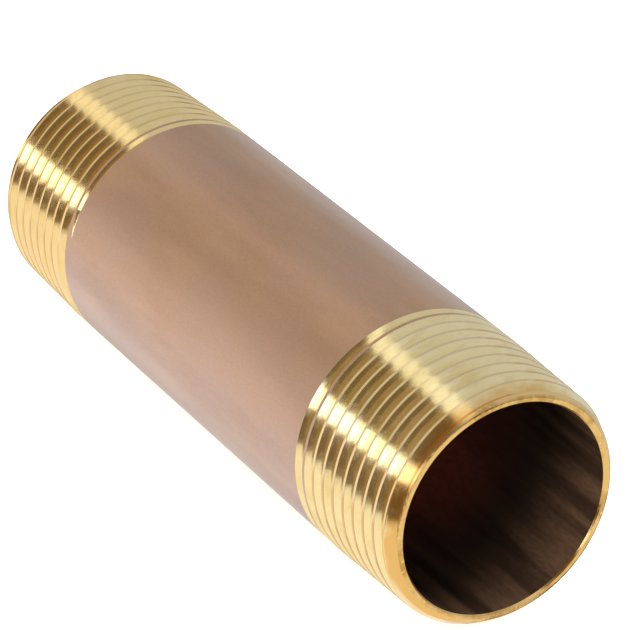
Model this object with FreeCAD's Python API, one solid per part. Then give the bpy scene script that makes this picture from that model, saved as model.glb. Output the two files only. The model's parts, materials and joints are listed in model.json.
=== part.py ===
import FreeCAD, Part
import math
import os

# Straight pipe nipple, 1 in pipe size by 4 in long, male taper pipe thread on both ends.
# Millimetres.  The pipe axis is X, +Z is up, the origin is at mid-length on the axis.
# "Depth" below means the distance from an end face inwards along the axis.

# ---- pipe
LENGTH = 101.6                      # end face to end face
OUTSIDE_RADIUS = 33.4 / 2
BORE_RADIUS = 28.4 / 2

# ---- taper pipe thread
THREADS_PER_INCH = 11.5
PITCH = 25.4 / THREADS_PER_INCH
TAPER = 1 / 32                      # growth of radius per unit of depth
FLANK_ANGLE = math.radians(30)      # each flank from the plane square to the axis
CREST_FLAT = 0.18 * PITCH           # width of the crest where the thread is full
ROOT_FLAT = 0.06 * PITCH            # width of the root where the thread is full
CREST_MEETS_PIPE = 16.3             # depth at which the crest cone reaches the pipe outside
SIZED_DOWN = 0.02                   # taken off the pipe's radius there, when it is sized for threading
CUT_OVERRUN = 1.5 * PITCH           # how far outside the end face the groove starts
CREST_CLEARANCE = 0.05 * PITCH      # crest width left outside the pipe, between turns of the groove

# Where each thread starts: the angle about the axis, in degrees from +Y towards +Z,
# at which the middle of the crest crosses the reference depth.
CREST_REFERENCE_DEPTH = 1.78
FRONT_CREST_ANGLE = 132.8
REAR_CREST_ANGLE = 79.0

# Where each thread stops.  Reach is the depth past which the cutter touches nothing, so the last
# turn narrows against it.  Run-out is the depths of the groove's middle where the cutter starts
# to draw back and where it leaves the pipe.
FRONT_REACH = 21.3
FRONT_RUN_OUT = (21.15, 21.9)
REAR_REACH = 20.95
REAR_RUN_OUT = (21.0, 21.1)
RUN_OUT_OVERRUN = 0.15              # how far past that the groove is swept

# ---- ends
END_RING_RADIUS = 30.2 / 2          # where the end chamfer meets the end face
CHAMFER_LENGTH = 1.5                # along the axis
END_ROUNDING = 0.5                  # radius worn on both edges of the chamfer
DEBURR = 0.2                        # 45 degree break at the mouth of the bore

# ---- where the plain barrel hands over to a threaded end, just past the last groove
THREADED_END_LENGTH = 22.4

AXIS = FreeCAD.Vector(1, 0, 0)
ORIGIN = FreeCAD.Vector(0, 0, 0)
GROOVE_PIECE_TURNS = 0.5             # the groove is swept in pieces this long
POINTS_PER_PIECE = 12

# Heights above the sharp root of the thread form, where the thread is full.
SHARP_HEIGHT = PITCH / 2 / math.tan(FLANK_ANGLE)
ROOT_HEIGHT = ROOT_FLAT / 2 / math.tan(FLANK_ANGLE)
CREST_HEIGHT = SHARP_HEIGHT - CREST_FLAT / 2 / math.tan(FLANK_ANGLE)
CUTTER_HEIGHT = SHARP_HEIGHT - CREST_CLEARANCE / 2 / math.tan(FLANK_ANGLE)
CREST_RADIUS_AT_END = OUTSIDE_RADIUS - SIZED_DOWN - CREST_MEETS_PIPE * TAPER
SHARP_ROOT_AT_END = CREST_RADIUS_AT_END - CREST_HEIGHT


def revolve(profile):
    """Solid of revolution about the axis from (depth, radius) corners."""
    corners = [FreeCAD.Vector(depth, radius, 0) for depth, radius in profile]
    face = Part.Face(Part.makePolygon(corners + corners[:1]))
    return face.revolve(ORIGIN, AXIS, 360)


def crest_radius(depth):
    """Outside of the thread blank, up to where it reaches the pipe outside."""
    return CREST_RADIUS_AT_END + depth * TAPER


def root_radius(depth):
    """Bottom of the groove where the thread is full."""
    return SHARP_ROOT_AT_END + ROOT_HEIGHT + depth * TAPER


def draw_back(middle, run_out):
    """How far the cutter has lifted off the thread taper when its middle is at this depth."""
    begin, end = run_out
    lift_at_end = OUTSIDE_RADIUS - SHARP_ROOT_AT_END - end * TAPER
    return lift_at_end * max(0, (middle - begin) / (end - begin))


def groove_edge(offset, height, begin, end, run_out):
    """Stretch of helix on the thread taper, while the middle of the groove goes from depth
    begin to depth end.  It runs offset along the axis from that middle, and height above the
    sharp root.  Depth grows with the angle: a right-hand thread."""
    points = []
    for step in range(POINTS_PER_PIECE + 1):
        middle = begin + (end - begin) * step / POINTS_PER_PIECE
        angle = 2 * math.pi * ((middle - CREST_REFERENCE_DEPTH) / PITCH + 0.5)
        radius = SHARP_ROOT_AT_END + height + middle * TAPER + draw_back(middle, run_out)
        points.append(FreeCAD.Vector(middle + offset, radius * math.cos(angle),
                                     radius * math.sin(angle)))
    curve = Part.BSplineCurve()
    curve.interpolate(points)
    return curve.toShape()


def end_cap(edges, end):
    """Triangle that closes the groove at one end of its three edges."""
    corners = [edge.Vertexes[end].Point for edge in edges]
    return Part.Face(Part.makePolygon(corners + corners[:1]))


def piece_ends(begin, end):
    """Depths that part a stretch of groove into equal pieces."""
    count = math.ceil((end - begin) / (GROOVE_PIECE_TURNS * PITCH))
    return [begin + (end - begin) * index / count for index in range(count + 1)]


def groove(run_out):
    """Solid swept by the sharp vee of the thread form, from outside the end face until the
    cutter has left the pipe."""
    half_width = CUTTER_HEIGHT * math.tan(FLANK_ANGLE)
    stops = piece_ends(-CUT_OVERRUN, run_out[0])
    stops += piece_ends(run_out[0], run_out[1] + RUN_OUT_OVERRUN)[1:]
    faces = []
    for begin, end in zip(stops, stops[1:]):
        root, near, far = edges = [groove_edge(offset, height, begin, end, run_out) for
                                   offset, height in ((0, 0), (-half_width, CUTTER_HEIGHT),
                                                      (half_width, CUTTER_HEIGHT))]
        faces += [Part.makeRuledSurface(root, near), Part.makeRuledSurface(near, far),
                  Part.makeRuledSurface(far, root)]
        if begin == stops[0]:
            faces.append(end_cap(edges, 0))
    faces.append(end_cap(edges, -1))
    shell = Part.makeShell(faces)
    shell.sewShape()
    return Part.makeSolid(shell.Shells[0])


def uncut_core(reach):
    """Everything the thread cutter never touches: the root cone, then the wall its last tooth
    leaves, which meets the pipe outside at this depth."""
    start = -3 * CUT_OVERRUN
    wall_foot = reach - (OUTSIDE_RADIUS - root_radius(reach)) * math.tan(FLANK_ANGLE)
    wall_top = reach + CUT_OVERRUN * math.tan(FLANK_ANGLE)
    return revolve([(start, 0), (start, root_radius(start)), (wall_foot, root_radius(reach)),
                    (wall_top, OUTSIDE_RADIUS + CUT_OVERRUN), (LENGTH / 2, OUTSIDE_RADIUS + CUT_OVERRUN),
                    (LENGTH / 2, 0)])


def end_blank():
    """Threaded end before threading: bored, chamfered, deburred, end face at depth zero."""
    chamfer_top = crest_radius(CHAMFER_LENGTH)
    blank = revolve([
        (0, BORE_RADIUS + DEBURR), (0, END_RING_RADIUS), (CHAMFER_LENGTH, chamfer_top),
        (CREST_MEETS_PIPE, crest_radius(CREST_MEETS_PIPE)),
        (THREADED_END_LENGTH, OUTSIDE_RADIUS),
        (THREADED_END_LENGTH, BORE_RADIUS), (DEBURR, BORE_RADIUS)])
    edges = [edge for edge in blank.Edges if isinstance(edge.Curve, Part.Circle)
             and (math.isclose(edge.Curve.Radius, END_RING_RADIUS)
                  or math.isclose(edge.Curve.Radius, chamfer_top))]
    return blank.makeFillet(END_ROUNDING, edges)


def threaded_end(reach, run_out):
    """One threaded end, end face at depth zero, crest at zero angle on the reference depth."""
    return end_blank().cut(groove(run_out).cut(uncut_core(reach))).Solids[0]


def barrel():
    """Plain middle of the pipe."""
    half = LENGTH / 2 - THREADED_END_LENGTH
    return revolve([(-half, BORE_RADIUS), (-half, OUTSIDE_RADIUS),
                    (half, OUTSIDE_RADIUS), (half, BORE_RADIUS)])


def main():
    rear = threaded_end(REAR_REACH, REAR_RUN_OUT)
    rear.rotate(ORIGIN, AXIS, REAR_CREST_ANGLE)
    rear.translate(FreeCAD.Vector(-LENGTH / 2, 0, 0))

    front = threaded_end(FRONT_REACH, FRONT_RUN_OUT)
    front.rotate(ORIGIN, FreeCAD.Vector(0, 0, 1), 180)
    front.rotate(ORIGIN, AXIS, FRONT_CREST_ANGLE - 180)
    front.translate(FreeCAD.Vector(LENGTH / 2, 0, 0))

    for name, shape in (("barrel", barrel()), ("front_threaded_end", front),
                        ("rear_threaded_end", rear)):
        shape.exportStep(os.path.join("parts", name + ".step"))


os.makedirs("parts", exist_ok=True)
main()
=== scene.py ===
import json
import math

import bmesh
import bpy
import numpy as np
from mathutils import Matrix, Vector

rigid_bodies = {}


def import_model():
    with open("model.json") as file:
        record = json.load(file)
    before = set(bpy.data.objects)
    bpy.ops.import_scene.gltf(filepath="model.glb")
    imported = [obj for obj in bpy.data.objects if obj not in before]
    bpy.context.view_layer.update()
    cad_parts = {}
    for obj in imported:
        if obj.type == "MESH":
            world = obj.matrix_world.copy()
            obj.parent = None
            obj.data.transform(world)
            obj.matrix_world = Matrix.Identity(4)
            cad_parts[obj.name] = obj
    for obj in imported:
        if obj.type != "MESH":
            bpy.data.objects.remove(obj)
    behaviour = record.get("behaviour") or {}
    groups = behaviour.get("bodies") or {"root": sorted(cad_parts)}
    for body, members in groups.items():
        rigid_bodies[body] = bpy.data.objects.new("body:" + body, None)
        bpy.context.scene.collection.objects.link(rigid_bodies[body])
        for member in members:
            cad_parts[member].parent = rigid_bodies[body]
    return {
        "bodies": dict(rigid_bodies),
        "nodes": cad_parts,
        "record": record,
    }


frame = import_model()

# A brass pipe nipple lying on its side, in metres.  The pipe axis is X, +Z is up, and the origin is
# at mid-length on the axis.  The three CAD solids are the whole object.  They get their materials
# here, and a studio to mirror.
#
# "Depth" below means the distance from the nearer end face, inwards along the axis.
# "Turn" means the angle round the pipe, in degrees, from the line that faces the camera: minus is
# down, in front of the pipe, and plus is up and over it.

MM = 0.001

# ---- the pipe, as the record gives it
MOUNTS = {mount["name"]: mount for mount in frame["record"]["mounts"]}
LENGTH = 2 * MOUNTS["front_thread"]["pos_m"][0]
OUTSIDE_RADIUS = MOUNTS["barrel_outside"]["dims"]["r_mm"] * MM
BORE_RADIUS = MOUNTS["through_bore"]["dims"]["r_mm"] * MM

# ---- the thread, as in the CAD
THREAD_PITCH = 25.4 / 11.5 * MM
THREAD_RADIUS = 16.2 * MM            # where its helix angle is taken
HELIX_ANGLE = math.atan(THREAD_PITCH / (2 * math.pi * THREAD_RADIUS))
CREST_RADIUS_AT_END = 16.171 * MM    # at the end face
TAPER = 1 / 32                       # growth of radius per unit of depth

# ---- which finish a face has
SKIN_RADIUS = OUTSIDE_RADIUS - 0.028 * MM   # faces wholly outside this keep the pipe's brown skin,
SKIN_DEPTH = 18.3 * MM                      # where they are at least this deep
RIM_DEPTH = 0.45 * MM                       # faces within this depth belong to the end face
BORE_FINISH_RADIUS = BORE_RADIUS + 0.05 * MM      # faces wholly inside this belong to the bore

# ---- camera: level, no roll, looking down at the pipe
CAMERA_PLACE = Vector((373.953, -217.602, 241.901)) * MM
CAMERA_AHEAD = Vector((-0.75293, 0.44556, -0.48432))
CAMERA_LENS = 219.37
CAMERA_SENSOR = 36.0
CAMERA_CLIP = (0.01, 20)
OVER = (0.734, 0.679)                # Y and Z of the direction over the pipe, square to the view

# ---- studio
FLOOR_LEVEL = -OUTSIDE_RADIUS
FLOOR_REACH = 3
FLOOR_COLOUR, FLOOR_GLOW = (0.93, 0.93, 0.92), 0.65
SKY_STRENGTH = 1.35
TABLE_ALONG, TABLE_ACROSS = (0.055, 0.9), (-0.012, 0.08)   # the table ahead of the mouth
STRIP_DISTANCE = 2.0                 # from the pipe to the strips that it mirrors
STRIP_ROW = 6                        # degrees of turn, at most
STRIP_COLUMNS = 30
ROOM_RADIUS = 1.3 * STRIP_DISTANCE
RIBBON_DISTANCE = 0.3
RIBBON_EDGE, RIBBON_FOOT = -36, -130   # turns
RIBBON_EDGE_HELD = 0.09              # past this far along the pipe, the edge stays at one turn
RIBBON_COLUMNS, RIBBON_ROWS = 24, 12


def clear_startup():
    """Removes what a new Blender file starts with, so that only the frame is left."""
    keep = set(frame["nodes"].values()) | set(frame["bodies"].values())
    for thing in list(bpy.data.objects):
        if thing not in keep:
            bpy.data.objects.remove(thing)
    bpy.context.view_layer.update()


clear_startup()
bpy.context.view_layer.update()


# ------------------------------------------------------------------ node helpers
class Graph:
    """Short names for building a shader graph.  The lengths in it are in millimetres."""

    def __init__(self, name):
        self.material = bpy.data.materials.new(name)
        self.material.use_nodes = True
        self.tree = self.material.node_tree
        self.tree.nodes.clear()
        self.out = self.node("OutputMaterial")
        self.coords = self.node("TexCoord").outputs["Object"]

    def node(self, kind):
        return self.tree.nodes.new("ShaderNode" + kind)

    def feed(self, socket, value):
        if isinstance(value, bpy.types.NodeSocket):
            self.tree.links.new(value, socket)
        elif isinstance(value, (tuple, list)) and len(value) == 3 and socket.type == "RGBA":
            socket.default_value = (*value, 1.0)
        else:
            socket.default_value = value

    # ---- arithmetic
    def math(self, operation, *values):
        node = self.node("Math")
        node.operation = operation
        for socket, value in zip(node.inputs, values):
            self.feed(socket, value)
        return node.outputs[0]

    def add(self, first, second):
        return self.math("ADD", first, second)

    def subtract(self, first, second):
        return self.math("SUBTRACT", first, second)

    def multiply(self, first, second):
        return self.math("MULTIPLY", first, second)

    def divide(self, first, second):
        return self.math("DIVIDE", first, second)

    def ramp(self, value, low, high, to_low=0.0, to_high=1.0):
        """Smooth step from to_low, at low, to to_high, at high."""
        node = self.node("MapRange")
        node.interpolation_type = "SMOOTHSTEP"
        for name, number in (("From Min", low), ("From Max", high),
                             ("To Min", to_low), ("To Max", to_high)):
            self.feed(node.inputs[name], number)
        self.feed(node.inputs["Value"], value)
        return node.outputs["Result"]

    # ---- places
    def scaled(self, x, y, z):
        """Place on the object, with each coordinate multiplied by its factor."""
        node = self.node("VectorMath")
        node.operation = "MULTIPLY"
        self.feed(node.inputs[0], self.coords)
        node.inputs[1].default_value = (x / MM, y / MM, z / MM)
        return node.outputs[0]

    def place(self):
        """X, Y and Z."""
        node = self.node("SeparateXYZ")
        self.feed(node.inputs[0], self.scaled(1, 1, 1))
        return node.outputs

    def radius(self):
        """Distance from the pipe axis."""
        x, y, z = self.place()
        return self.math("SQRT", self.add(self.multiply(y, y), self.multiply(z, z)))

    def depth(self):
        return self.subtract(LENGTH / 2 / MM, self.math("ABSOLUTE", self.place()[0]))

    def side(self):
        """Sine of the turn: 1 is over the pipe, -1 below it."""
        x, y, z = self.place()
        over = self.add(self.multiply(y, OVER[0]), self.multiply(z, OVER[1]))
        return self.divide(over, self.radius())

    def around(self, across, along):
        """Place that changes fast across the cutter's path and slowly round the pipe."""
        across_radius = 0.7 * across
        x, y, z = self.place()
        radius = self.radius()
        node = self.node("CombineXYZ")
        self.feed(node.inputs[0], self.add(self.multiply(x, across),
                                           self.multiply(radius, across_radius)))
        self.feed(node.inputs[1], self.multiply(self.divide(y, radius), along))
        self.feed(node.inputs[2], self.multiply(self.divide(z, radius), along))
        return node.outputs[0]

    # ---- patterns and colours
    def noise(self, place, detail, roughness=0.5):
        node = self.node("TexNoise")
        self.feed(node.inputs["Vector"], place)
        node.inputs["Scale"].default_value = 1.0
        node.inputs["Detail"].default_value = detail
        node.inputs["Roughness"].default_value = roughness
        return node.outputs["Fac"]

    def mix(self, factor, first, second):
        node = self.node("Mix")
        node.data_type = "RGBA"
        self.feed(node.inputs["Factor"], factor)
        self.feed(node.inputs["A"], first)
        self.feed(node.inputs["B"], second)
        return node.outputs["Result"]

    def bump(self, height, distance):
        node = self.node("Bump")
        node.inputs["Strength"].default_value = 1.0
        node.inputs["Distance"].default_value = distance
        self.feed(node.inputs["Height"], height)
        return node.outputs["Normal"]

    # ---- what comes out
    def surface(self, **inputs):
        return self.shaded("BsdfPrincipled", inputs)

    def emission(self, colour, strength):
        return self.shaded("Emission", {"Color": colour, "Strength": strength})

    def shaded(self, kind, inputs):
        node = self.node(kind)
        for name, value in inputs.items():
            self.feed(node.inputs[name.replace("_", " ")], value)
        self.tree.links.new(node.outputs[0], self.out.inputs["Surface"])
        return self.material


# ------------------------------------------------------------------ finishes
def cut_brass():
    """Bright thread flanks: fine cutter marks run round the pipe under a faint cloudy patina.  The
    crests get painted shade, orange-brown, in bands below and over the pipe.  The rear end is warmer,
    and so is the metal next to both end faces, where it was handled."""
    pale, bright, tool_mark = (0.92, 0.80, 0.52), (0.95, 0.84, 0.58), (0.72, 0.54, 0.27)
    warm, olive = (0.92, 0.68, 0.32), (0.76, 0.64, 0.28)
    crest_shade, handled = (0.60, 0.37, 0.14), (0.78, 0.50, 0.19)
    g = Graph("cut_brass")
    cloud = g.noise(g.scaled(0.25, 0.25, 0.25), 3.0)
    marks = g.noise(g.around(7.0, 4.0), 3.0, 0.6)
    nicks = g.noise(g.scaled(1.6, 1.1, 1.1), 3.0, 0.6)
    patina = g.noise(g.scaled(0.16, 0.13, 0.13), 4.0, 0.6)

    colour = g.mix(g.ramp(cloud, 0.3, 0.7), pale, bright)
    colour = g.mix(g.ramp(marks, 0.5, 0.75, 0.0, 0.35), colour, tool_mark)
    colour = g.mix(g.ramp(g.place()[0], 0, -20, 0.0, 0.45), colour, warm)
    colour = g.mix(g.ramp(patina, 0.48, 0.64, 0.0, 0.32), colour, olive)

    # Painted shade: the crest lines are darkened orange-brown in bands below and over the pipe, chosen
    # by turn.
    crest_radius = g.add(CREST_RADIUS_AT_END / MM, g.multiply(g.depth(), TAPER))
    on_crest = g.ramp(g.subtract(crest_radius, g.radius()), 0.09, 0.03)
    below = g.add(g.ramp(g.side(), -0.22, -0.36, 0.0, 0.55), g.ramp(g.side(), -0.60, -0.70, 0.0, 0.45))
    over = g.ramp(g.side(), 0.82, 0.90)
    shaded_crests = g.multiply(on_crest, g.add(below, over))
    colour = g.mix(g.multiply(shaded_crests, 0.95), colour, crest_shade)

    ragged_depth = g.add(g.depth(), g.multiply(cloud, 3.0))
    colour = g.mix(g.ramp(ragged_depth, 3.8, 2.4, 0.0, 0.9), colour, handled)
    height = g.add(g.multiply(marks, 0.6), g.multiply(nicks, 0.5))
    return g.surface(Base_Color=colour, Metallic=1.0, Roughness=g.ramp(nicks, 0.35, 0.75, 0.11, 0.17),
                     Normal=g.bump(height, 0.002 * MM))


def end_amber():
    """End face and chamfer: duller and more orange than the flanks, scraped bright in places."""
    dull, amber, scraped = (0.54, 0.33, 0.12), (0.82, 0.58, 0.27), (0.92, 0.74, 0.38)
    g = Graph("end_amber")
    cloud = g.noise(g.scaled(0.35, 0.22, 0.22), 3.0, 0.6)
    scrape = g.noise(g.around(8.0, 6.0), 3.0, 0.6)
    nicks = g.noise(g.scaled(1.3, 1.3, 1.3), 3.0, 0.6)
    colour = g.mix(g.ramp(cloud, 0.35, 0.60), dull, amber)
    colour = g.mix(g.ramp(nicks, 0.55, 0.75), colour, scraped)
    height = g.add(g.multiply(scrape, 0.8), nicks)
    return g.surface(Base_Color=colour, Metallic=1.0, Roughness=g.ramp(cloud, 0.35, 0.65, 0.14, 0.26),
                     Normal=g.bump(height, 0.012 * MM))


def pipe_skin():
    """Brown skin of the drawn pipe: long soft mottled streaks along the axis, very fine grain."""
    brown, light_brown = (0.385, 0.225, 0.142), (0.475, 0.290, 0.185)
    mauve, dusty = (0.385, 0.250, 0.195), (0.60, 0.42, 0.30)
    g = Graph("pipe_skin")
    streak = g.noise(g.scaled(0.035, 0.17, 0.17), 4.0, 0.55)
    cloud = g.noise(g.scaled(0.045, 0.075, 0.075), 3.0)
    grain = g.noise(g.scaled(0.9, 5.0, 5.0), 2.0)
    dust = g.noise(g.scaled(3.0, 4.0, 4.0), 2.0, 0.7)
    colour = g.mix(g.ramp(streak, 0.3, 0.7), brown, light_brown)
    colour = g.mix(g.ramp(cloud, 0.38, 0.62, 0.0, 0.5), colour, mauve)
    colour = g.mix(g.ramp(dust, 0.35, 0.65, 0.0, 0.16), colour, dusty)
    return g.surface(Base_Color=colour, Metallic=0.72, Roughness=g.ramp(grain, 0.2, 0.8, 0.34, 0.42),
                     Specular_IOR_Level=0.5, Coat_Weight=0.3, Coat_Roughness=0.3,
                     Normal=g.bump(grain, 0.005 * MM))


def bore_oxide_and_painted_light():
    """Inside of the pipe: soft brown streaks of painted light at the mouths, that reach deepest at the
    turn that gets most light, then near-black oxide with painted shade, and a maroon tint further in."""
    black, brown_black, soot = (0.010, 0.006, 0.004), (0.036, 0.020, 0.012), (0.030, 0.019, 0.013)
    # brown is painted light at the mouths; maroon is the oxide's own tint.
    brown, maroon = (0.25, 0.135, 0.075), (0.26, 0.050, 0.028)
    lit_side = 0.15
    g = Graph("bore_oxide_and_painted_light")
    streak = g.noise(g.scaled(0.03, 0.42, 0.42), 3.0, 0.5)
    tint = g.noise(g.scaled(0.03, 0.10, 0.10), 3.0)
    grain = g.noise(g.scaled(0.8, 2.5, 2.5), 3.0)

    # Painted light: the brown near the mouths stands for light coming into the bore, and reaches
    # deepest at the turn that gets most of it.
    away = g.subtract(g.side(), lit_side)
    shorter = g.multiply(g.multiply(away, away), 6.0)
    streaky_depth = g.subtract(g.depth(), g.multiply(streak, 6.0))
    painted_mouth_light = g.multiply(g.ramp(g.add(streaky_depth, shorter), 12, -2),
                          g.ramp(streak, 0.36, 0.66, 0.25, 0.75))
    deep = g.multiply(g.ramp(g.depth(), 13, 32), g.ramp(tint, 0.40, 0.58, 0.4, 1.0))

    colour = g.mix(g.ramp(streak, 0.30, 0.70), black, brown_black)
    colour = g.mix(painted_mouth_light, colour, brown)
    colour = g.mix(deep, colour, maroon)
    colour = g.mix(g.ramp(grain, 0.35, 0.65, 0.0, 0.3), colour, soot)
    return g.surface(Base_Color=colour, Metallic=0.2, Roughness=g.ramp(streak, 0.3, 0.7, 0.5, 0.42),
                     Specular_IOR_Level=0.15, Normal=g.bump(grain, 0.01 * MM))


def corner_spans(mesh):
    """For each face, over its corners: least and greatest distance from the axis, and least
    distance from mid-length."""
    points = np.empty(len(mesh.vertices) * 3)
    mesh.vertices.foreach_get("co", points)
    points = points.reshape(-1, 3)
    radius, along = np.hypot(points[:, 1], points[:, 2]), np.abs(points[:, 0])
    corners, starts = np.empty(len(mesh.loops), int), np.empty(len(mesh.polygons), int)
    mesh.loops.foreach_get("vertex_index", corners)
    mesh.polygons.foreach_get("loop_start", starts)
    return (np.minimum.reduceat(radius[corners], starts), np.maximum.reduceat(radius[corners], starts),
            np.minimum.reduceat(along[corners], starts))


BRASS, BORE_FINISH, SKIN, AMBER = range(4)
FINISHES = (cut_brass(), bore_oxide_and_painted_light(), pipe_skin(), end_amber())


def give_finishes(name, outside):
    """Gives a CAD node all finishes and picks one for each face; outside is the usual one."""
    thing = frame["nodes"][name]
    thing.data.materials.clear()
    for material in FINISHES:
        thing.data.materials.append(material)
    least_radius, greatest_radius, along = corner_spans(thing.data)
    finish = np.full(len(along), outside)
    finish[along > LENGTH / 2 - RIM_DEPTH] = AMBER
    finish[(least_radius > SKIN_RADIUS) & (along < LENGTH / 2 - SKIN_DEPTH)] = SKIN
    # The bore finish is oxide, with painted light at the mouths and painted shade further in.
    finish[greatest_radius < BORE_FINISH_RADIUS] = BORE_FINISH
    thing.data.polygons.foreach_set("material_index", finish.astype(np.int32))


give_finishes("barrel", SKIN)
give_finishes("front_threaded_end", BRASS)
give_finishes("rear_threaded_end", BRASS)


# ------------------------------------------------------------------ studio pieces
def lit_floor():
    """Pale matte table top that glows a little, so that shadows on it stay faint."""
    return Graph("lit_floor").surface(Base_Color=FLOOR_COLOUR, Roughness=0.95,
                                      Emission_Color=FLOOR_COLOUR, Emission_Strength=FLOOR_GLOW)


def glow(name, colour, strength):
    return Graph(name).emission(colour, strength)


def graded_glow(name, ahead, beside, behind):
    """Glow of a card far away round the pipe, each given as (colour, strength): ahead is what
    lies towards +X, beside what lies square to the pipe, behind what lies towards -X."""
    g = Graph(name)
    x = g.divide(g.place()[0], STRIP_DISTANCE / MM)
    to_beside, to_behind = g.ramp(x, 0.85, 0.05), g.ramp(x, -0.15, -0.6)
    colour = g.mix(to_behind, g.mix(to_beside, ahead[0], beside[0]), behind[0])
    strength = g.add(ahead[1], g.add(g.multiply(to_beside, beside[1] - ahead[1]),
                                     g.multiply(to_behind, behind[1] - beside[1])))
    return g.emission(colour, strength)


MIRROR_RAYS = ("glossy",)
ALL_BUT_MIRROR_RAYS = ("camera", "diffuse", "shadow", "transmission")


def put_on_stage(name, mesh, material, unseen_by):
    """Stage piece that these kinds of ray don't see."""
    mesh.materials.append(material)
    thing = bpy.data.objects.new(name, mesh)
    bpy.context.scene.collection.objects.link(thing)
    for ray in unseen_by:
        setattr(thing, "visible_" + ray, False)


def floor_card(name, along, across, material, unseen_by):
    """Rectangle at floor level, between two values of X and two of Y."""
    corners = [(x, y, FLOOR_LEVEL) for x, y in ((along[0], across[0]), (along[1], across[0]),
                                                (along[1], across[1]), (along[0], across[1]))]
    mesh = bpy.data.meshes.new(name)
    mesh.from_pydata(corners, [], [(0, 1, 2, 3)])
    put_on_stage(name, mesh, material, unseen_by)


def grid(name, points, rows, columns, material):
    """Mirrored card through rows of points."""
    step = columns + 1
    faces = [(row * step + column, row * step + column + 1, (row + 1) * step + column + 1,
              (row + 1) * step + column) for row in range(rows) for column in range(columns)]
    mesh = bpy.data.meshes.new(name)
    mesh.from_pydata(points, [], faces)
    put_on_stage(name, mesh, material, ALL_BUT_MIRROR_RAYS)


def room(name, material):
    """Ball round the whole stage, seen only in mirror reflections."""
    mesh = bpy.data.meshes.new(name)
    maker = bmesh.new()
    bmesh.ops.create_icosphere(maker, subdivisions=3, radius=ROOM_RADIUS)
    maker.to_mesh(mesh)
    maker.free()
    put_on_stage(name, mesh, material, ALL_BUT_MIRROR_RAYS)


def outward_at(turn):
    """Direction square to the pipe at this turn."""
    angle = math.atan2(CAMERA_PLACE.z, CAMERA_PLACE.y) - math.radians(turn)
    return Vector((0, math.cos(angle), math.sin(angle)))


def mirrored(turn, swing, along=0.0):
    """Direction in which the camera sees the studio mirrored, at this turn and this far along the
    pipe.  All the tilts that a thread's surfaces can have there contain the line of the helix, so
    they lead along one arc; swing is the place on that arc, in degrees from +X."""
    to_camera = (CAMERA_PLACE - Vector((along, 0, 0))).normalized()
    axis, outward = Vector((1, 0, 0)), outward_at(turn)
    sideways = axis.cross(outward)
    helix = sideways * math.cos(HELIX_ANGLE) + axis * math.sin(HELIX_ANGLE)
    ahead = axis * math.cos(HELIX_ANGLE) - sideways * math.sin(HELIX_ANGLE)
    across = -to_camera.dot(helix)
    swing = math.radians(swing)
    return (helix * across
            + math.sqrt(1 - across * across) * (ahead * math.cos(swing) + outward * math.sin(swing)))


def strip(name, turns, swings, material):
    """Long curved card, far away, that the whole thread mirrors between two turns."""
    first, last = turns
    begin, end = swings
    rows = 1 + math.ceil(abs(last - first) / STRIP_ROW)
    points = []
    for row in range(rows + 1):
        turn = first + (last - first) * row / rows
        for column in range(STRIP_COLUMNS + 1):
            swing = begin + (end - begin) * column / STRIP_COLUMNS
            points.append(mirrored(turn, swing) * STRIP_DISTANCE)
    grid(name, points, rows, STRIP_COLUMNS, material)


def ribbon(name, swing, stretch, edge_slope, material):
    """Card near the pipe, wholly below an edge whose turn drops slowly towards +X, by edge_slope
    degrees a metre.  A thread mirrors it at this swing; stretch is the part of the pipe's line
    that it serves."""
    points = []
    for column in range(RIBBON_COLUMNS + 1):
        along = stretch[0] + (stretch[1] - stretch[0]) * column / RIBBON_COLUMNS
        edge = RIBBON_EDGE + edge_slope * max(-RIBBON_EDGE_HELD, min(RIBBON_EDGE_HELD, along))
        for row in range(RIBBON_ROWS + 1):
            turn = edge + (RIBBON_FOOT - edge) * row / RIBBON_ROWS
            on_pipe = Vector((along, 0, 0)) + outward_at(turn) * OUTSIDE_RADIUS
            points.append(on_pipe + mirrored(turn, swing, along) * RIBBON_DISTANCE)
    grid(name, points, RIBBON_COLUMNS, RIBBON_ROWS, material)


# ------------------------------------------------------------------ floor and what the brass mirrors
floor_card("floor", (-FLOOR_REACH, FLOOR_REACH), (-FLOOR_REACH, FLOOR_REACH), lit_floor(),
           MIRROR_RAYS)
floor_card("table", TABLE_ALONG, TABLE_ACROSS, glow("table_white", (1.0, 0.90, 0.64), 1.02),
           ALL_BUT_MIRROR_RAYS)

# Going up and over the pipe: a pale table, its edge, a low bright window, the dim room, a high
# window and a wall.  What lies ahead of the pipe is mirrored once by a flank.  What lies beside it
# is mirrored twice, so that it is cooler and stronger.  What lies behind is mirrored by the crests
# and the barrel, and of the table's edge only that is here: the ribbons are the rest of it.
ALL_SWINGS, BEHIND = (4, 176), (108, 176)
CREAM, DAY, WARM = (1.0, 0.94, 0.72), (0.84, 0.90, 1.0), (1.0, 0.90, 0.78)
TABLE_AHEAD, TABLE_BESIDE = ((1.0, 0.89, 0.66), 1.06), ((0.90, 0.87, 0.88), 1.38)
TABLE_BEHIND = ((0.93, 0.94, 1.0), 1.3)
WALL_AHEAD, WALL_BESIDE = ((1.0, 0.96, 0.83), 0.63), (DAY, 0.80)
ROOM = ((1.0, 0.66, 0.31), 0.19), ((1.0, 0.74, 0.42), 0.31), ((1.0, 0.86, 0.64), 0.66)
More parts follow.
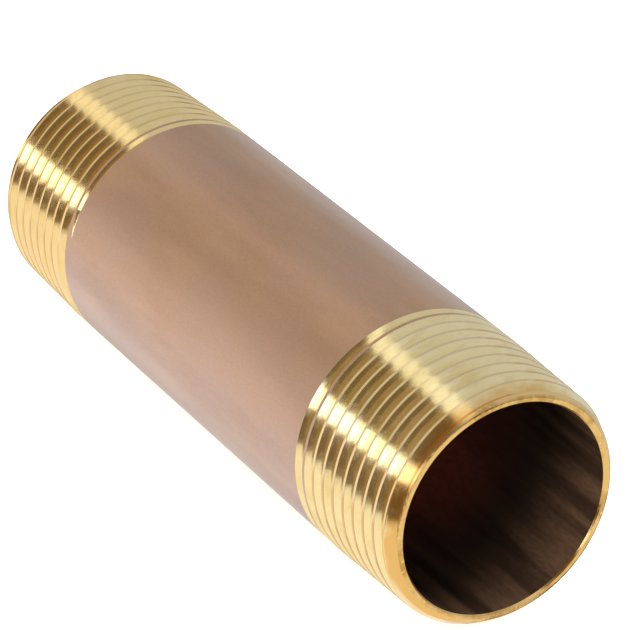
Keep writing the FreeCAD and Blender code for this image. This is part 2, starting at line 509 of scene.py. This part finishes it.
STRIPS = (   # name, turns, swings, and the glow ahead, beside and behind
    ("table_far", (-130, -66), ALL_SWINGS, TABLE_AHEAD, TABLE_BESIDE, ((0.93, 0.95, 1.0), 0.95)),
    ("table_side", (-66, -45), ALL_SWINGS, TABLE_AHEAD, TABLE_BESIDE, TABLE_BEHIND),
    ("table_rim", (-45, -36), BEHIND, TABLE_AHEAD, TABLE_BESIDE, TABLE_BEHIND),
    ("table_edge", (-36, -20.4), BEHIND, TABLE_AHEAD, TABLE_BESIDE, ((1.0, 0.93, 0.86), 1.25)),
    ("window_low", (-20.4, -11.3), ALL_SWINGS, ((1.0, 0.97, 0.91), 2.3), (DAY, 2.9), (WARM, 0.85)),
    ("window_high", (17.4, 26), ALL_SWINGS, (CREAM, 1.1), (DAY, 1.45), (WARM, 0.9)),
    ("wall", (26, 62), ALL_SWINGS, WALL_AHEAD, WALL_BESIDE, ((1.0, 0.95, 0.86), 0.50)),
    ("wall_far", (62, 130), ALL_SWINGS, WALL_AHEAD, WALL_BESIDE, ((0.88, 0.94, 1.0), 0.80)),
)
for name, turns, swings, *glows in STRIPS:
    strip(name, turns, swings, graded_glow(name, *glows))
ribbon("table_ahead", swing=24, stretch=(-0.21, 0.6), edge_slope=-47,
       material=glow("table_ahead", *TABLE_AHEAD))
ribbon("table_beside", swing=95.5, stretch=(-0.16, 0.13), edge_slope=-125,
       material=glow("table_beside", *TABLE_BESIDE))
room("room", graded_glow("room", *ROOM))

world = bpy.data.worlds.new("world")
bpy.context.scene.world = world
world.use_nodes = True
sky = world.node_tree.nodes["Background"]
sky.inputs["Color"].default_value = (1.0, 1.0, 1.0, 1.0)
sky.inputs["Strength"].default_value = SKY_STRENGTH

# ------------------------------------------------------------------ camera
camera = bpy.data.objects.new("camera", bpy.data.cameras.new("camera"))
bpy.context.scene.collection.objects.link(camera)
camera.data.lens, camera.data.sensor_width = CAMERA_LENS, CAMERA_SENSOR
camera.data.clip_start, camera.data.clip_end = CAMERA_CLIP
camera.location = CAMERA_PLACE
camera.rotation_euler = CAMERA_AHEAD.to_track_quat("-Z", "Y").to_euler()
bpy.context.scene.camera = camera
bpy.context.scene.view_settings.view_transform = "Standard"
